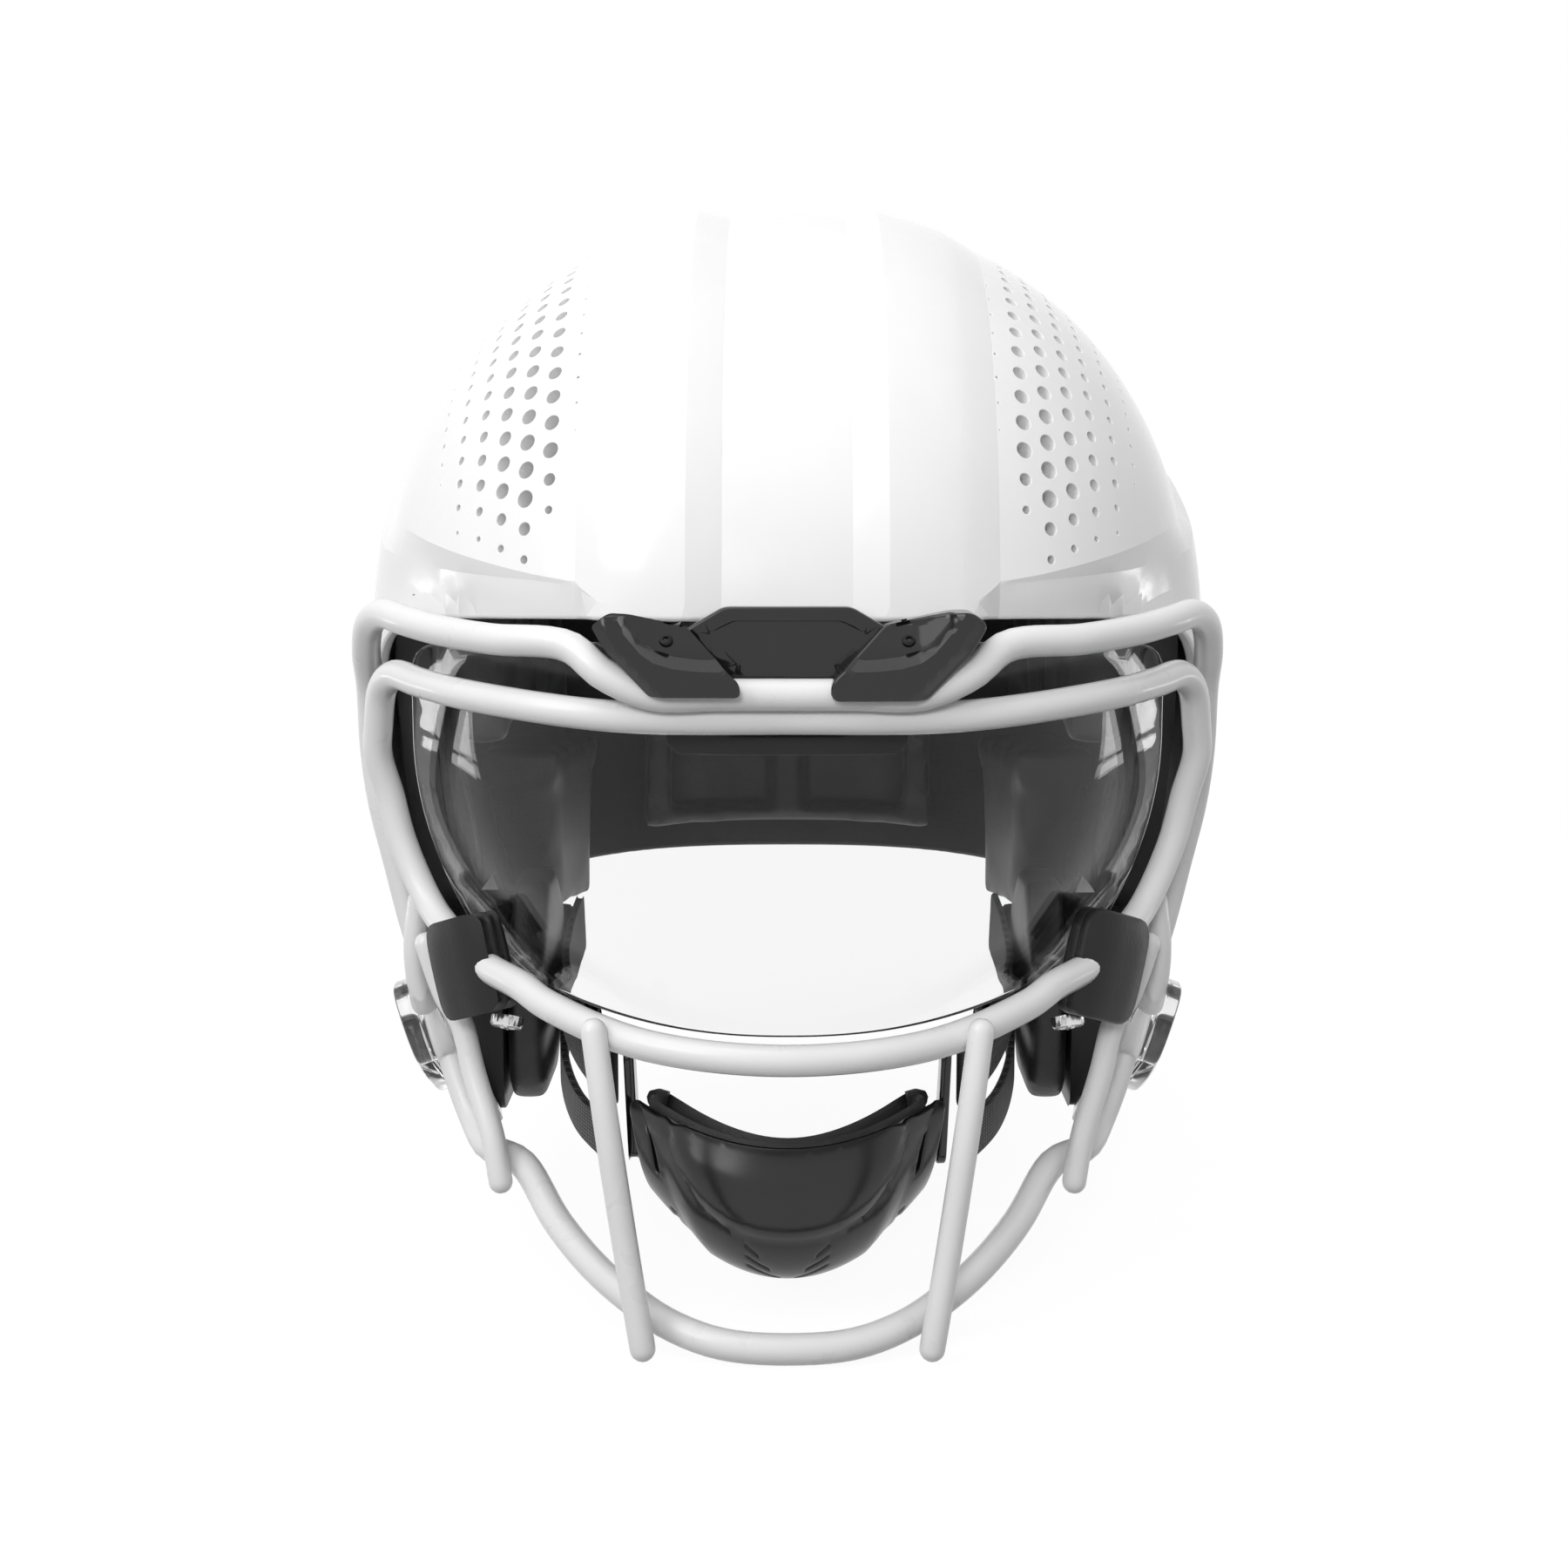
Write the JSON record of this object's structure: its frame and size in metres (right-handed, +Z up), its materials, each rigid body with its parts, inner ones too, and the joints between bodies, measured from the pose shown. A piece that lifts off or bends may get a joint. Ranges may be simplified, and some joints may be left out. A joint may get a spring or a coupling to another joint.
{
  "type": "american football helmet",
  "caption": "Hard-shell football helmet with padded liner, swing-up facemask, clear visor and padded chin strap.",
  "frame": {"origin": "centre of the helmet's footprint, at the height of the chin bar's underside", "axes": "+Z up through the crown, -Y the way the wearer looks, +X to the wearer's left"},
  "size_m": [0.248, 0.3217, 0.2991],
  "materials": {
    "shell_white": "gloss",
    "mask_coating": "satin powder coat",
    "arch_plastic": "matte",
    "reflex_foam": "matte",
    "pad_black": "fine soft grain",
    "trim_black": "gloss",
    "hardware_black": "fine matte",
    "visor_clear": "polished",
    "clip_clear": "polished",
    "screw_steel": "polished",
    "strap_webbing": "woven"
  },
  "bodies": {
    "helmet": {"outer_shell": "shell_white", "arch_shell": "arch_plastic", "front_bumper": "trim_black", "rear_bumper": "trim_black", "reflex_front": "reflex_foam", "liner_front": "pad_black", "reflex_crown": "reflex_foam", "liner_crown": "pad_black", "reflex_rear": "reflex_foam", "liner_rear": "pad_black", "reflex_left": "reflex_foam", "liner_left": "pad_black", "reflex_right": "reflex_foam", "liner_right": "pad_black", "ear_pad_left": "pad_black", "jaw_plate_left": "trim_black", "jaw_pad_left": "pad_black", "brow_clip_left": "trim_black", "brow_screw_left": "screw_steel", "side_post_left": "hardware_black", "strap_anchor_left": "screw_steel", "ear_pad_right": "pad_black", "jaw_plate_right": "trim_black", "jaw_pad_right": "pad_black", "brow_clip_right": "trim_black", "brow_screw_right": "screw_steel", "side_post_right": "hardware_black", "strap_anchor_right": "screw_steel"},
    "facemask": {"outer_loop": "mask_coating", "eye_loop": "mask_coating", "visor": "visor_clear", "visor_trim": "hardware_black", "inner_upright_left": "mask_coating", "outer_upright_left": "mask_coating", "side_stub_left": "mask_coating", "side_clip_left": "clip_clear", "visor_clip_front_left": "hardware_black", "visor_clip_rear_left": "hardware_black", "inner_upright_right": "mask_coating", "outer_upright_right": "mask_coating", "side_stub_right": "mask_coating", "side_clip_right": "clip_clear", "visor_clip_front_right": "hardware_black", "visor_clip_rear_right": "hardware_black"},
    "chin_strap": {"chin_cup": "trim_black", "chin_pad": "pad_black", "strap_upper_left": "strap_webbing", "strap_lower_left": "strap_webbing", "strap_slider_left": "hardware_black", "strap_snap_left": "trim_black", "strap_upper_right": "strap_webbing", "strap_lower_right": "strap_webbing", "strap_slider_right": "hardware_black", "strap_snap_right": "trim_black"},
    "release_button_left": {"side_button_left": "screw_steel"},
    "visor_turn_screw_left": {"visor_screw_left": "screw_steel"},
    "release_button_right": {"side_button_right": "screw_steel"},
    "visor_turn_screw_right": {"visor_screw_right": "screw_steel"}
  },
  "joints": [
    {"name": "facemask_swing", "type": "hinge", "parent": "helmet", "child": "facemask", "pos_m": [0, -0.14605, 0.1687], "axis": [-1, 0, 0], "range_deg": [0, 70]},
    {"name": "chin_strap_swing", "type": "hinge", "parent": "helmet", "child": "chin_strap", "pos_m": [0, 0.01595, 0.074], "axis": [1, 0, 0], "range_deg": [-10, 20]},
    {"name": "release_button_press_left", "type": "slide", "parent": "helmet", "child": "release_button_left", "axis": [-0.9397, 0, 0.342], "range_m": [0, 0.0025], "stiffness_N_per_m": 400, "springref_m": -0.002},
    {"name": "visor_screw_turn_left", "type": "hinge", "parent": "facemask", "child": "visor_turn_screw_left", "pos_m": [0.0772, -0.09025, 0.0736], "axis": [-0.2823, 0.8688, -0.4067], "range_deg": [0, 90]},
    {"name": "release_button_press_right", "type": "slide", "parent": "helmet", "child": "release_button_right", "axis": [0.9397, 0, 0.342], "range_m": [0, 0.0025], "stiffness_N_per_m": 400, "springref_m": -0.002},
    {"name": "visor_screw_turn_right", "type": "hinge", "parent": "facemask", "child": "visor_turn_screw_right", "pos_m": [-0.0772, -0.09025, 0.0736], "axis": [0.2823, 0.8688, -0.4067], "range_deg": [0, 90]}
  ]
}
